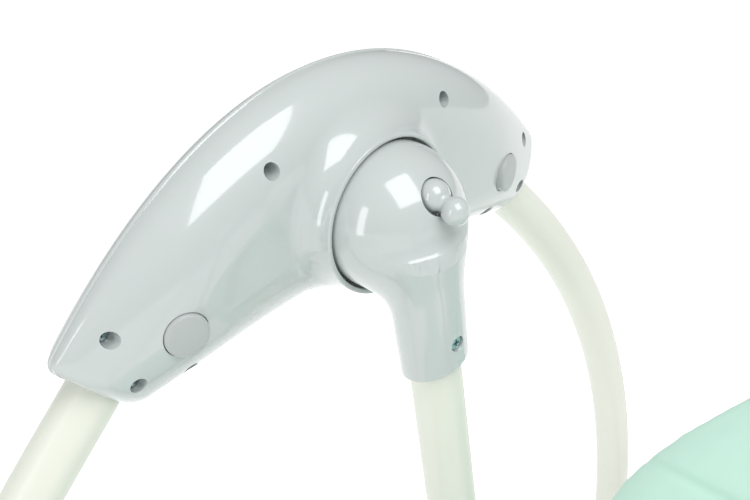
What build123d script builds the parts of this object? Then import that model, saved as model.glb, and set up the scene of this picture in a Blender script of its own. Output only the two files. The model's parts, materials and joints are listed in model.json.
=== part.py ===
import os
from math import cos, radians, sin

from build123d import *

os.makedirs("parts", exist_ok=True)

# Driving dimensions, in millimetres. The origin is on the floor, midway between the four feet.
# +Z is up, the child faces -Y, and the two hubs stand at -X and +X.
pivotHeight = 500
hubSpacing = 430
faceDepth = 13
seamDepth = 41
hubDepth = 78
wall = 2.8
tubeRadius = 12.5
tubeWall = 1.2
domeRadius = 35.3
collarRadius = 36.6
legPlane = 46.5
legReach = 313
legBendRadius = 520
elbowRadius = 38
floorTubeHeight = 18
socketRadius = 16
screwRadius = 1.5
screwHeadRadius = 3.3
axleRadius = 6
runningClearance = 0.05
padGap = 0.3

hubX = -hubSpacing / 2
legX = hubX - legPlane
pivot = Vector(hubX, 0, pivotHeight)
pivotAxis = Axis((hubX, 0, pivotHeight), (1, 0, 0))

# The leg enters its hub on a straight line at 45 degrees.
legEntry = (144.5, pivotHeight - 58)
legInnerReach = 98

# Places in one hub: depth behind the collar plane, distance forward or back, height over the pivot.
buttonPlace = (15, 106.5, -21.6)
buttonTilt = 17.3
buttonRadius = 10.2
midScrew = (20, 54.5, 35.5)
upperScrew = (27.5, 135.2, -15.5)
legScrew = (21.8, 127.8, -39.9)
lowerScrew = (24.5, 100.8, -45.8)
screwSink = 9
carrierFace = 35
carrierThickness = 4

# The swing arm's axis leans in and back a little from the dome down to the seat.
armTop = Vector(hubX + 24.5, -0.5, pivotHeight - 40)
armFoot = Vector(hubX + 42, 23, pivotHeight - 292)
armAxis = (armFoot - armTop).normalized()

# The seat: a hinge line along X and the back's plane, which leans 45 degrees.
hingeY, hingeZ = 52, 186
seatTubeRadius = 8
backPlane = Plane(origin=(0, hingeY, hingeZ), x_dir=(1, 0, 0), z_dir=(0, -1, 1))
seatPlane = Plane(origin=(0, -100, 202), x_dir=(1, 0, 0), z_dir=(0, 0.12, 0.9928))


def save(part, name):
    part.label = name
    export_step(part, f"parts/{name}.step")


def save_pair(part, name):
    """The left piece and its mirror image on the right."""
    save(part, f"left_{name}")
    save(mirror(part, about=Plane.YZ), f"right_{name}")


def both_ends(place):
    """A place in the left hub, at its front end and at its rear end."""
    depth, reach, height = place
    return [Vector(hubX - depth, side * reach, pivotHeight + height) for side in (-1, 1)]


def rod(start, end, radius):
    """A solid cylinder between two points."""
    direction = end - start
    with BuildPart() as cylinder:
        with BuildSketch(Plane(origin=start, z_dir=direction)):
            Circle(radius)
        extrude(amount=direction.length)
    return cylinder.part


def along_x(centre, depth, radius):
    """A cylinder from a point, running away from the seat along -X."""
    return rod(centre, centre - Vector(depth, 0, 0), radius)


# Half of the hub's outline: each point with the direction that leads straight inwards from it.
crownHalf = [(43, 57.5, -0.23, -0.97), (86, 38.5, -0.48, -0.88), (125, 11, -0.68, -0.73)]
hubEnd = [(152, -18, -0.8, -0.6), (158, -26, -1.32, 0.09), (125.5, -58.5, -0.32, 1.1), (110, -55, 0.2, 0.98)]
bellyHalf = [(75, -48.5, 0.15, 0.99), (39, -43.5, 0.1, 1)]
crownTop = (0, 63.6)
bellyMiddle = (0, -42)


def hub_outline(inset):
    """The arch of one hub seen along X, drawn inside the full outline by the inset."""
    def inwards(half):
        return [(y + inset * dy, z + inset * dz) for y, z, dy, dz in half]

    def mirrored_back(points):
        return [(-y, z) for y, z in reversed(points)]

    crown, end, belly = inwards(crownHalf), inwards(hubEnd), inwards(bellyHalf)
    top = (0, crownTop[1] - inset)
    middle = (0, bellyMiddle[1] + inset)
    with BuildSketch(Plane.YZ.offset(hubX - 50)) as outline:
        with BuildLine():
            Spline(*mirrored_back(crown + end[:1]), top, *crown, end[0], tangents=[(1, 1.15), (1, -1.15)])
            Polyline(*end)
            Spline(*end[3:], *belly, middle, *mirrored_back(end[3:] + belly), tangents=[(-1, 0.2), (-1, -0.2)])
            Polyline(*mirrored_back(end))
        make_face()
        corners = [v for v in outline.vertices() if abs(v.Y) > 118 and v.Z < -22]
        fillet(corners, 7 - inset)
    return outline.sketch.moved(Location((0, 0, pivotHeight)))


def hub_profile(face, seam, drop):
    """The hub seen from above: its face is flat in the middle and falls back towards both ends."""
    step = drop if seam > face else -drop
    falling = [(70, 0.01), (106.5, 0.12), (165, 1)]
    places = [(-y, part) for y, part in reversed(falling)] + [(0, 0)] + falling
    points = [(hubX - face - step * part, y) for y, part in places]
    with BuildSketch(Plane.XY.offset(pivotHeight - 100)) as profile:
        with BuildLine():
            if drop:
                Spline(*points)
            else:
                Line(points[0], points[-1])
            Polyline(points[-1], (hubX - seam, 165), (hubX - seam, -165), points[0])
        make_face()
    return profile.sketch


def hub_body(inset, face, seam, drop, rounding):
    """One half of a hub as a solid, rounded all round its face."""
    with BuildPart() as body:
        extrude(hub_outline(inset), amount=60, both=True)
        extrude(hub_profile(face, seam, drop), amount=200, mode=Mode.INTERSECT)
        if rounding:
            rim = body.faces().sort_by(Axis.X)[-1 if face < seam else 0].edges()
            fillet(rim, rounding)
    return body.part


def leg_path(side):
    """From inside the hub, down the curved leg and round the elbow to the floor tube."""
    start = Vector(legX, side * legInnerReach, legEntry[1] + legEntry[0] - legInnerReach)
    knee = Vector(legX, side * legReach, legEntry[1] + legEntry[0] - legReach)
    heel = Vector(legX, side * legReach, floorTubeHeight)
    toe = Vector(hubX + 10, side * legReach, floorTubeHeight)
    with BuildLine() as path:
        FilletPolyline(start, knee, heel, toe, radius=[legBendRadius, elbowRadius])
    return path.line


def tube(path, radius, thickness):
    with BuildPart() as pipe:
        with BuildSketch(Plane(origin=path @ 0, z_dir=path % 0)):
            Circle(radius)
            Circle(radius - thickness, mode=Mode.SUBTRACT)
        sweep(path=path)
    return pipe.part


def leg_bore(side, radius):
    """The straight stretch of a leg inside its hub, to be cut from the covers."""
    start = Vector(legX, side * (legInnerReach - 1), legEntry[1] + legEntry[0] - legInnerReach + 1)
    return rod(start, start + Vector(0, side * 80, -80), radius)


def button_plane(side):
    place = both_ends(buttonPlace)[0 if side < 0 else 1]
    tilt = radians(buttonTilt)
    return Plane(origin=place, z_dir=(cos(tilt), side * sin(tilt), 0))


def button_rod(side, low, high, radius):
    plane = button_plane(side)
    return rod(plane.origin + plane.z_dir * low, plane.origin + plane.z_dir * high, radius)


# Inner cover: a rounded shell with a flared collar, screw bosses and the holes for buttons and legs.
innerShell = hub_body(0, faceDepth, seamDepth, 20, 11)
innerCavity = hub_body(wall, faceDepth + wall, seamDepth + 1, 20, 8)
bossEnds = [(midScrew, carrierFace), (upperScrew, seamDepth), (legScrew, legPlane - tubeRadius - 1),
            (lowerScrew, seamDepth)]
with BuildPart() as innerBosses:
    for place, end in bossEnds:
        for centre in both_ends(place):
            mouth = Vector(hubX - faceDepth, centre.Y, centre.Z)
            add(along_x(mouth, end - faceDepth, 6))
    for side in (-1, 1):
        add(button_rod(side, -9, 0, buttonRadius + 2.6))
    add(innerShell, mode=Mode.INTERSECT)

with BuildPart() as collar:
    with BuildSketch(Plane(origin=pivot, x_dir=(1, 0, 0), z_dir=(0, -1, 0))):
        with BuildLine():
            Polyline((-faceDepth - wall, collarRadius), (-0.8, collarRadius), (0, collarRadius + 0.8), (0, 38.8))
            Spline((0, 38.8), (-2, 40.6), (-8, 42.4), (-faceDepth, 48), tangents=[(-0.2, 1), (-1, 1.6)])
            Polyline((-faceDepth, 48), (-faceDepth - wall, 48), (-faceDepth - wall, collarRadius))
        make_face()
    revolve(axis=pivotAxis)
    extrude(hub_outline(0), amount=60, both=True, mode=Mode.INTERSECT)

with BuildPart() as innerCover:
    add(innerShell)
    add(innerCavity, mode=Mode.SUBTRACT)
    add(innerBosses.part)
    add(collar.part)
    add(rod(pivot - Vector(seamDepth, 0, 0), pivot + Vector(5, 0, 0), collarRadius), mode=Mode.SUBTRACT)
    for place, end in bossEnds:
        for centre in both_ends(place):
            seat = centre - Vector(screwSink, 0, 0)
            add(rod(seat, seat + Vector(30, 0, 0), 3.75), mode=Mode.SUBTRACT)
            add(along_x(seat, 40, screwRadius + 0.2), mode=Mode.SUBTRACT)
    for side in (-1, 1):
        add(button_rod(side, -30, 10, buttonRadius + 0.35), mode=Mode.SUBTRACT)
        add(leg_bore(side, tubeRadius + 0.1), mode=Mode.SUBTRACT)
save_pair(innerCover.part, "inner_cover")
print("inner cover", innerCover.part.is_valid, len(innerCover.solids()))

# Outer cover: the deeper shell outside the seam, with the posts that take the cover screws.
outerShell = hub_body(0, hubDepth, seamDepth, 0, 6)
outerCavity = hub_body(wall, hubDepth - wall, seamDepth - 1, 0, 0)
postStarts = [(midScrew, carrierFace + carrierThickness), (upperScrew, seamDepth),
              (legScrew, legPlane + tubeRadius + 0.2), (lowerScrew, seamDepth)]
with BuildPart() as outerPosts:
    for place, start in postStarts:
        for centre in both_ends(place):
            base = Vector(hubX - start, centre.Y, centre.Z)
            add(along_x(base, hubDepth - start, 4.5))
    add(outerShell, mode=Mode.INTERSECT)

with BuildPart() as outerCover:
    add(outerShell)
    add(outerCavity, mode=Mode.SUBTRACT)
    add(outerPosts.part)
    for place, start in postStarts:
        for centre in both_ends(place):
            base = Vector(hubX - start, centre.Y, centre.Z)
            add(along_x(base, 16, screwRadius + 0.05), mode=Mode.SUBTRACT)
    for side in (-1, 1):
        add(leg_bore(side, tubeRadius + 0.1), mode=Mode.SUBTRACT)
save(outerCover.part, "left_outer_cover")
print("outer cover", outerCover.part.is_valid, len(outerCover.solids()))

# The right outer cover also holds the battery box, the control panel and the speaker grille.
batteryWindow = (28, 84, -38, 24)
panelWindow = (-104, -34, -16, 18)
buttonPitch = 16
controlButtons = ["power", "speed", "timer", "music"]
speakerPlace = (104, -20)
rightFace = hubSpacing / 2 + hubDepth


def right_box(y0, y1, z0, z1, x0, x1):
    """A block on the right hub, from its sides, its heights over the pivot and its two depths."""
    with BuildPart() as block:
        with BuildSketch(Plane.YZ.offset(x0)):
            with Locations(((y0 + y1) / 2, pivotHeight + (z0 + z1) / 2)):
                Rectangle(y1 - y0, z1 - z0)
        extrude(amount=x1 - x0)
    return block.part


def right_rod(y, z, x0, x1, radius):
    return rod(Vector(x0, y, pivotHeight + z), Vector(x1, y, pivotHeight + z), radius)


def control_centre(index):
    return panelWindow[0] + 11 + index * buttonPitch


with BuildPart() as rightOuterCover:
    add(mirror(outerCover.part, about=Plane.YZ))
    add(right_box(*batteryWindow, rightFace - 8, rightFace + 8), mode=Mode.SUBTRACT)
    add(right_box(*panelWindow, rightFace - 8, rightFace + 8), mode=Mode.SUBTRACT)
    for row in range(-2, 3):
        y, z = speakerPlace
        add(right_box(y - 9, y + 9, z + row * 4 - 1, z + row * 4 + 1, rightFace - 12, rightFace + 8),
            mode=Mode.SUBTRACT)
save(rightOuterCover.part, "right_outer_cover")

# Carrier plate: clamped behind the collar by the middle cover screws, it holds the axle's bush.
with BuildPart() as carrier:
    with BuildSketch(Plane.YZ.offset(hubX - carrierFace - carrierThickness)):
        with Locations((0, pivotHeight + 4)):
            RectangleRounded(126, 80, 8)
    extrude(amount=carrierThickness)
    add(rod(pivot - Vector(carrierFace, 0, 0), pivot - Vector(14, 0, 0), 14))
    add(rod(pivot - Vector(60, 0, 0), pivot, 9), mode=Mode.SUBTRACT)
    for centre in both_ends(midScrew):
        add(along_x(centre, 60, screwRadius + 0.2), mode=Mode.SUBTRACT)
save_pair(carrier.part, "carrier_plate")

# Bushes and axles.
with BuildPart() as bushes:
    add(rod(pivot - Vector(39, 0, 0), pivot - Vector(14, 0, 0), 9))
    add(rod(pivot - Vector(14, 0, 0), pivot - Vector(12, 0, 0), 12))
    add(rod(pivot - Vector(60, 0, 0), pivot, axleRadius + runningClearance), mode=Mode.SUBTRACT)
    mirror(about=Plane.YZ)
save(bushes.part, "axle_bushes")

with BuildPart() as axles:
    add(rod(pivot - Vector(58, 0, 0), pivot + Vector(12, 0, 0), axleRadius))
    with BuildSketch(Plane.YZ.offset(hubX - 41.2)):
        with Locations((0, pivotHeight)):
            Circle(axleRadius + 1)
            Circle(axleRadius - 0.8, mode=Mode.SUBTRACT)
    extrude(amount=-1.2, mode=Mode.SUBTRACT)
    mirror(about=Plane.YZ)
save(axles.part, "hub_axles")

with BuildPart() as clips:
    with BuildSketch(Plane.YZ.offset(hubX - 41.3)):
        with Locations((0, pivotHeight)):
            Circle(axleRadius + 4)
            Circle(axleRadius - 0.8, mode=Mode.SUBTRACT)
            with Locations((0, -axleRadius)):
                Rectangle(2 * axleRadius - 3, 2 * axleRadius, mode=Mode.SUBTRACT)
    extrude(amount=-1)
    mirror(about=Plane.YZ)
save(clips.part, "axle_clips")

# Cover screws with a cross recess.
def screw(seat, length, headRadius=screwHeadRadius):
    """A screw whose head rests on its seat and points to +X."""
    with BuildPart() as fastener:
        add(along_x(seat, length, screwRadius))
        add(rod(seat, seat + Vector(2.4, 0, 0), headRadius))
        with BuildSketch(Plane(origin=seat + Vector(2.4, 0, 0), z_dir=(1, 0, 0))):
            Rectangle(3.8, 0.9)
            Rectangle(0.9, 3.8)
        extrude(amount=-1.3, mode=Mode.SUBTRACT)
    return fastener.part


with BuildPart() as coverScrews:
    for place, length in [(midScrew, 22), (upperScrew, 16), (legScrew, 42), (lowerScrew, 18)]:
        for centre in both_ends(place):
            add(screw(centre - Vector(screwSink, 0, 0), length))
    mirror(about=Plane.YZ)
save(coverScrews.part, "hub_screws")

# Legs: curved tubes with a hole for the screw and one for the lock pin.
legPath = {side: leg_path(side) for side in (-1, 1)}
for side, end in ((-1, "front"), (1, "rear")):
    lockPlace = both_ends(buttonPlace)[0 if side < 0 else 1]
    screwPlace = both_ends(legScrew)[0 if side < 0 else 1]
    with BuildPart() as leg:
        add(tube(legPath[side], tubeRadius, tubeWall))
        add(along_x(screwPlace, 60, screwRadius + 0.2), mode=Mode.SUBTRACT)
        add(along_x(lockPlace, 30, 4.1), mode=Mode.SUBTRACT)
    save(leg.part, f"{end}_left_leg")
    save(mirror(leg.part, about=Plane.YZ), f"{end}_right_leg")

# Floor tubes plug into sleeves that join them to the legs; rubber feet clip round them.
floorTubeEnd = hubX + 10.5
with BuildPart() as floorTubes:
    for side in (-1, 1):
        with BuildSketch(Plane(origin=(floorTubeEnd, side * legReach, floorTubeHeight), z_dir=(1, 0, 0))):
            Circle(tubeRadius)
            Circle(tubeRadius - tubeWall, mode=Mode.SUBTRACT)
        extrude(amount=-2 * floorTubeEnd)
save(floorTubes.part, "floor_tubes")

with BuildPart() as sleeves:
    for side in (-1, 1):
        with BuildSketch(Plane(origin=(floorTubeEnd - 9, side * legReach, floorTubeHeight), z_dir=(1, 0, 0))):
            Circle(tubeRadius + 2)
            Circle(tubeRadius, mode=Mode.SUBTRACT)
        extrude(amount=36)
    mirror(about=Plane.YZ)
save(sleeves.part, "floor_tube_sleeves")

footX = floorTubeEnd + 60
with BuildPart() as feet:
    for side in (-1, 1):
        with BuildSketch(Plane((footX - 17, side * legReach, floorTubeHeight), x_dir=(0, 1, 0), z_dir=(1, 0, 0))):
            Circle(tubeRadius + 3)
            with Locations((0, -floorTubeHeight / 2)):
                Rectangle(2 * tubeRadius + 6, floorTubeHeight)
            Circle(tubeRadius, mode=Mode.SUBTRACT)
        extrude(amount=34)
    mirror(about=Plane.YZ)
save(feet.part, "rubber_feet")

# Leg release buttons, their lock pins and leaf springs.
for side, end in ((-1, "front"), (1, "rear")):
    with BuildPart() as button:
        add(button_rod(side, -8, 0.8, buttonRadius))
        top = button.edges().filter_by(GeomType.CIRCLE).sort_by(Axis.X)[-1]
        fillet(top, 0.7)
        add(button_rod(side, -8, -3.4, 7), mode=Mode.SUBTRACT)
    save(button.part, f"{end}_left_leg_button")
    save(mirror(button.part, about=Plane.YZ), f"{end}_right_leg_button")

with BuildPart() as lockSprings:
    for side, centre in zip((-1, 1), both_ends(buttonPlace)):
        root = Vector(legX + 5, centre.Y, centre.Z)
        add(rod(root, Vector(hubX - 29, centre.Y, centre.Z), 3.9))
        leafPlane = Plane(origin=root, x_dir=(0, side, -1), z_dir=(1, 0, 0))
        with BuildSketch(leafPlane):
            with Locations((6, 0)):
                Rectangle(28, 8)
        extrude(amount=-1)
    mirror(about=Plane.YZ)
save(lockSprings.part, "leg_lock_springs")

# Swing hub: the dome, its skirt inside the collar, and the neck that ends in the arm's socket.
neckTop = armTop - armAxis * 16
neckEnd = armTop + armAxis * 52
pegTilt = 34
pegHole = pivot + Vector(cos(radians(pegTilt)), 0, sin(radians(pegTilt))) * 24.2
pegBall = pivot + Vector(26.2, 0, 19)
pegTip = pivot + Vector(38.7, 0, 15.8)
armScrewPlace = armTop + armAxis * 12
rimPlane = Plane(origin=armTop + armAxis * 28, z_dir=(0.22, 0.31, -1))
with BuildPart() as swingHub:
    with BuildSketch(Plane(origin=pivot, x_dir=(1, 0, 0), z_dir=(0, -1, 0))):
        with BuildLine():
            CenterArc((0, 0), domeRadius, 0, 90)
            Polyline((0, domeRadius), (-9, domeRadius), (-9, 0), (domeRadius, 0))
        make_face()
    revolve(axis=pivotAxis)
    with BuildSketch(Plane(origin=neckTop, z_dir=armAxis)):
        Circle(socketRadius + 1.7)
    with BuildSketch(Plane(origin=neckEnd, z_dir=armAxis)):
        Circle(socketRadius)
    loft()
    add(rod(pivot - Vector(9, 0, 0), pivot + Vector(4, 0, 0), domeRadius - 4), mode=Mode.SUBTRACT)
    add(rod(pivot - Vector(11.5, 0, 0), pivot + Vector(6, 0, 0), 11))
    add(rod(pivot - Vector(20, 0, 0), pivot + Vector(12, 0, 0), axleRadius), mode=Mode.SUBTRACT)
    split(bisect_by=rimPlane, keep=Keep.BOTTOM)
    add(rod(armTop, neckEnd + armAxis * 20, tubeRadius), mode=Mode.SUBTRACT)
    add(rod(pegHole, pegHole + (pegHole - pivot) * 2, 9), mode=Mode.SUBTRACT)
    add(rod(armScrewPlace, armScrewPlace + Vector(16, 0, 0), screwRadius + 0.2), mode=Mode.SUBTRACT)
    add(rod(armScrewPlace + Vector(13.2, 0, 0), armScrewPlace + Vector(30, 0, 0), 3.9), mode=Mode.SUBTRACT)
save_pair(swingHub.part, "swing_hub")
print("swing hub", swingHub.part.is_valid, len(swingHub.solids()))

with BuildPart() as peg:
    with Locations(pegBall):
        Sphere(7.5)
    with Locations(pegTip):
        Sphere(6.5)
    add(rod(pegBall, pegTip, 4.3))
save_pair(peg.part, "peg")

# Swing arms, their screws and the brackets that take the seat tube.
with BuildPart() as arm:
    with BuildSketch(Plane(origin=armTop, z_dir=armAxis)):
        Circle(tubeRadius)
        Circle(tubeRadius - tubeWall, mode=Mode.SUBTRACT)
    extrude(amount=(armFoot - armTop).length)
    add(rod(armScrewPlace, armScrewPlace + Vector(16, 0, 0), screwRadius + 0.2), mode=Mode.SUBTRACT)
save_pair(arm.part, "swing_arm")

with BuildPart() as armScrews:
    add(screw(armScrewPlace + Vector(13.2, 0, 0), 9))
    mirror(about=Plane.YZ)
save(armScrews.part, "arm_screws")

# Seat brackets, with a hole for the arm above, the seat tube in front and the recline pin inside.
bracketCentre = Vector(armFoot.X, hingeY - 22, hingeZ + 6)
bracketHalf = 14
bracketInner = armFoot.X + bracketHalf
seatTubeRear = seatPlane.from_local_coords(Vector(armFoot.X, 102, 0))
seatTubeFront = seatPlane.from_local_coords(Vector(armFoot.X + 24, -128, 0))
with BuildPart() as bracket:
    with BuildSketch(Plane.YZ.offset(armFoot.X - bracketHalf)):
        with Locations((bracketCentre.Y, bracketCentre.Z)):
            SlotCenterToCenter(46, 58, rotation=-8)
    extrude(amount=2 * bracketHalf)
    fillet(bracket.faces().sort_by(Axis.X)[0].edges(), 3)
    add(rod(armFoot, armFoot - armAxis * 44, tubeRadius + 3))
    add(rod(armFoot, armFoot - armAxis * 60, tubeRadius), mode=Mode.SUBTRACT)
    add(rod(seatTubeRear, seatTubeRear - (seatTubeRear - seatTubeFront).normalized() * 60, seatTubeRadius),
        mode=Mode.SUBTRACT)
    add(rod(Vector(bracketInner - 12, hingeY, hingeZ), Vector(bracketInner + 5, hingeY, hingeZ), 5),
        mode=Mode.SUBTRACT)
save_pair(bracket.part, "seat_bracket")

# Seat tube: a U from one bracket round the front of the seat to the other.
mirrored = lambda point: Vector(-point.X, point.Y, point.Z)
with BuildLine() as seatPath:
    FilletPolyline(seatTubeRear, seatTubeFront, mirrored(seatTubeFront), mirrored(seatTubeRear), radius=60)
save(tube(seatPath.line, seatTubeRadius, 1.2), "seat_tube")

# Back tube: a tapering U in the back's plane, turning on two pins.
backHalf = -armFoot.X - bracketHalf - 10
backShape = [(backHalf, 0), (backHalf - 4, 120), (88, 262)]
backPoints = [(w, u) for w, u in backShape] + [(-w, u) for w, u in reversed(backShape)]
with BuildLine() as backLine:
    FilletPolyline(*[backPlane.from_local_coords(Vector(w, u, 0)) for w, u in backPoints], radius=[90, 70, 70, 90])
backFoot = Vector(-backHalf, hingeY, hingeZ)
with BuildPart() as backTube:
    add(tube(backLine.line, seatTubeRadius, 1.2))
    for side in (-1, 1):
        inside, outside = side * (backHalf - 9), side * (backHalf + 9.5)
        add(rod(Vector(inside, hingeY, hingeZ), Vector(outside, hingeY, hingeZ), 15))
        add(rod(Vector(inside - side, hingeY, hingeZ), Vector(outside + side, hingeY, hingeZ),
                5 + runningClearance), mode=Mode.SUBTRACT)
save(backTube.part, "back_tube")

with BuildPart() as reclinePins:
    add(rod(Vector(bracketInner - 12, hingeY, hingeZ), Vector(-backHalf + 10, hingeY, hingeZ), 5))
    add(rod(Vector(-backHalf + 9.5, hingeY, hingeZ), Vector(-backHalf + 12, hingeY, hingeZ), 9))
    mirror(about=Plane.YZ)
save(reclinePins.part, "recline_pins")

# Seat board and back board carry the pads.
boardLow = seatTubeRadius + padGap
boardTop = boardLow + 3
padLow = boardTop + 0.3
seatPadTop = padLow + 30


def seat_slab(half, front, rear, low, high, corner):
    """A rounded slab over the seat tube; its length runs forward from the seat plane's origin."""
    with BuildPart() as slab:
        with BuildSketch(seatPlane.offset(low)):
            with Locations((0, (front + rear) / 2)):
                RectangleRounded(2 * half, rear - front, corner)
        extrude(amount=high - low)
    return slab.part


save(seat_slab(150, -132, 100, boardLow, boardTop, 40), "seat_board")
seatPad = seat_slab(146, -134, 108, padLow, seatPadTop, 45)
seatPad = fillet(seatPad.faces().filter_by(
    lambda f: abs(f.normal_at().dot(seatPlane.z_dir)) > 0.99).sort_by(Axis.Z)[-1].edges(), 12)
save(seatPad, "seat_pad")


def back_slab(outline, low, high):
    """A slab on the back's plane; the outline lists half-widths and heights from the hinge line."""
    half = [(w, u) for w, u in outline]
    with BuildPart() as slab:
        with BuildSketch(backPlane.offset(low)):
            with BuildLine():
                right = Polyline((0, half[0][1]), half[0], half[1])
                crown = Spline(*half[1:], (0, half[-1][1] + 16), *[(-w, u) for w, u in reversed(half[1:])])
                Polyline((-half[1][0], half[1][1]), (-half[0][0], half[0][1]), (0, half[0][1]))
            make_face()
        extrude(amount=high - low)
    return slab.part


backPadShape = [(150, 34), (160, 90), (159, 123), (153, 148), (143, 169), (130, 191), (112, 217), (70, 262)]
backBoardShape = [(128, 40), (128, 90), (127, 123), (121, 148), (110, 169), (96, 191), (80, 214), (48, 244)]
backPadTop = padLow + 29
save(back_slab(backBoardShape, boardLow, boardTop), "back_board")
backPad = back_slab(backPadShape, padLow, backPadTop)
frontFace = max(backPad.faces().filter_by(GeomType.PLANE), key=lambda f: backPlane.to_local_coords(f.center()).Z)
backPad = fillet(frontFace.edges(), 8)
save(backPad, "back_pad")
print("pads", backPad.is_valid, seatPad.is_valid)

with BuildPart() as headPad:
    with BuildSketch(backPlane.offset(backPadTop + padGap)):
        with Locations((0, 208)):
            RectangleRounded(130, 84, 34)
    extrude(amount=16)
save(headPad.part, "head_pad")

# Harness: shoulder straps on the back pad, waist and crotch straps and the buckle on the seat pad.
strapThickness = 1.4
strapWidth = 24
with BuildPart() as shoulderStrap:
    with BuildSketch(backPlane.offset(backPadTop + padGap)):
        with Locations((-52, 110)):
            Rectangle(strapWidth, 104)
    extrude(amount=strapThickness)
save_pair(shoulderStrap.part, "shoulder_strap")

strapLow = seatPadTop + padGap
with BuildPart() as waistStraps:
    with BuildSketch(seatPlane.offset(strapLow)):
        with Locations((-80, 60)):
            Rectangle(90, strapWidth)
    extrude(amount=strapThickness)
    mirror(about=Plane.YZ)
save(waistStraps.part, "waist_straps")

with BuildPart() as crotchStrap:
    with BuildSketch(seatPlane.offset(strapLow)):
        with Locations((0, -10)):
            Rectangle(strapWidth, 90)
    extrude(amount=strapThickness)
save(crotchStrap.part, "crotch_strap")

buckleLow = strapLow
with BuildPart() as buckle:
    with BuildSketch(seatPlane.offset(buckleLow)):
        with Locations((0, 60)):
            RectangleRounded(62, 44, 8)
    extrude(amount=14)
    with BuildSketch(seatPlane.offset(buckleLow + 3)):
        with Locations((0, 60)):
            Circle(10.4)
    extrude(amount=20, mode=Mode.SUBTRACT)
save(buckle.part, "buckle")

with BuildPart() as buckleButton:
    with BuildSketch(seatPlane.offset(buckleLow + 7)):
        with Locations((0, 60)):
            Circle(10)
    extrude(amount=8)
save(buckleButton.part, "buckle_button")

# Drive: a coil on the right outer cover pulls a magnet on a lever fixed to the axle.
driveHeight = 42
with BuildPart() as bobbin:
    add(right_rod(0, driveHeight, rightFace - 20, rightFace - wall, 5))
    add(right_rod(0, driveHeight, rightFace - 20, rightFace - 18.5, 11))
    add(right_rod(0, driveHeight, rightFace - 9, rightFace - 7.5, 11))
save(bobbin.part, "coil_bobbin")
with BuildPart() as winding:
    add(right_rod(0, driveHeight, rightFace - 18.5, rightFace - 9, 10))
    add(right_rod(0, driveHeight, rightFace - 20, rightFace - 7, 5), mode=Mode.SUBTRACT)
save(winding.part, "coil_winding")

leverFace = hubSpacing / 2 + 46
with BuildPart() as lever:
    with BuildSketch(Plane.YZ.offset(leverFace)):
        with Locations((0, pivotHeight + driveHeight / 2)):
            SlotCenterToCenter(driveHeight, 20, rotation=90)
    extrude(amount=3)
    add(right_rod(0, 0, leverFace - 3, leverFace + 3, 10))
    add(right_rod(0, 0, leverFace - 10, leverFace + 10, axleRadius), mode=Mode.SUBTRACT)
save(lever.part, "magnet_lever")
save(right_rod(0, driveHeight, leverFace + 3, leverFace + 7, 9), "drive_magnet")

# Electronics on the right hub: board, speaker, panel and its four buttons.
save(right_box(panelWindow[0] + 2, panelWindow[1] - 2, -30, 16, rightFace - 11, rightFace - 9.4), "circuit_board")
y, z = speakerPlace
with BuildPart() as speaker:
    add(right_rod(y, z, rightFace - 7.5, rightFace - 5.5, 12))
    add(right_rod(y, z, rightFace - 13, rightFace - 7.5, 8))
save(speaker.part, "speaker")

with BuildPart() as panel:
    add(right_box(*panelWindow, rightFace - 3, rightFace))
    add(right_box(panelWindow[0] - 3, panelWindow[1] + 3, panelWindow[2] - 3, panelWindow[3] + 3,
                  rightFace + 0.3, rightFace + 2))
    add(right_box(*panelWindow, rightFace - 1, rightFace + 1))
    for index in range(len(controlButtons)):
        add(right_rod(control_centre(index), 1, rightFace - 8, rightFace + 8, 6.3), mode=Mode.SUBTRACT)
save(panel.part, "control_panel")
for index, name in enumerate(controlButtons):
    save(right_rod(control_centre(index), 1, rightFace - 6, rightFace + 3.6, 6), f"{name}_button")

# Batteries: four cells in the window, their contacts and the hinged door.
cellRadius = 7.1
cellX = rightFace - 9
cellHeights = [batteryWindow[2] + 1 + cellRadius + index * 14.6 for index in range(4)]
with BuildPart() as cells:
    for height in cellHeights:
        start = Vector(cellX, batteryWindow[0] + 2.5, pivotHeight + height)
        add(rod(start, start + Vector(0, 49, 0), cellRadius))
        add(rod(start + Vector(0, 49, 0), start + Vector(0, 50.5, 0), 2.7))
save(cells.part, "battery_cells")

with BuildPart() as contacts:
    for height in cellHeights:
        add(right_box(batteryWindow[0] + 1.6, batteryWindow[0] + 2.2, height - 5, height + 5, cellX - 5, cellX + 5))
        add(right_box(batteryWindow[1] - 2.2, batteryWindow[1] - 1.6, height - 5, height + 5, cellX - 5, cellX + 5))
save(contacts.part, "battery_contacts")

trayBack = cellX - cellRadius - 0.4
with BuildPart() as tray:
    add(right_box(batteryWindow[0] + 0.2, batteryWindow[1] - 0.2, batteryWindow[2] + 0.2, batteryWindow[3] - 0.2,
                  trayBack - 1.5, rightFace - 1.6))
    add(right_box(batteryWindow[0] + 1.5, batteryWindow[1] - 1.5, batteryWindow[2] + 0.6, batteryWindow[3] - 1,
                  trayBack, rightFace + 5), mode=Mode.SUBTRACT)
save(tray.part, "battery_tray")

doorHinge = (rightFace + 2.5, pivotHeight + batteryWindow[2] - 3)
with BuildPart() as door:
    add(right_box(batteryWindow[0] - 4, batteryWindow[1] + 4, batteryWindow[2] - 1, batteryWindow[3] + 5,
                  rightFace + 0.3, rightFace + 2.3))
    add(rod(Vector(doorHinge[0], batteryWindow[0] - 4, doorHinge[1]),
            Vector(doorHinge[0], batteryWindow[1] + 4, doorHinge[1]), 2.2))
save(door.part, "battery_door")
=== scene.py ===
import json
import math
import bmesh
import bpy
from mathutils import Matrix, Vector


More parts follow.
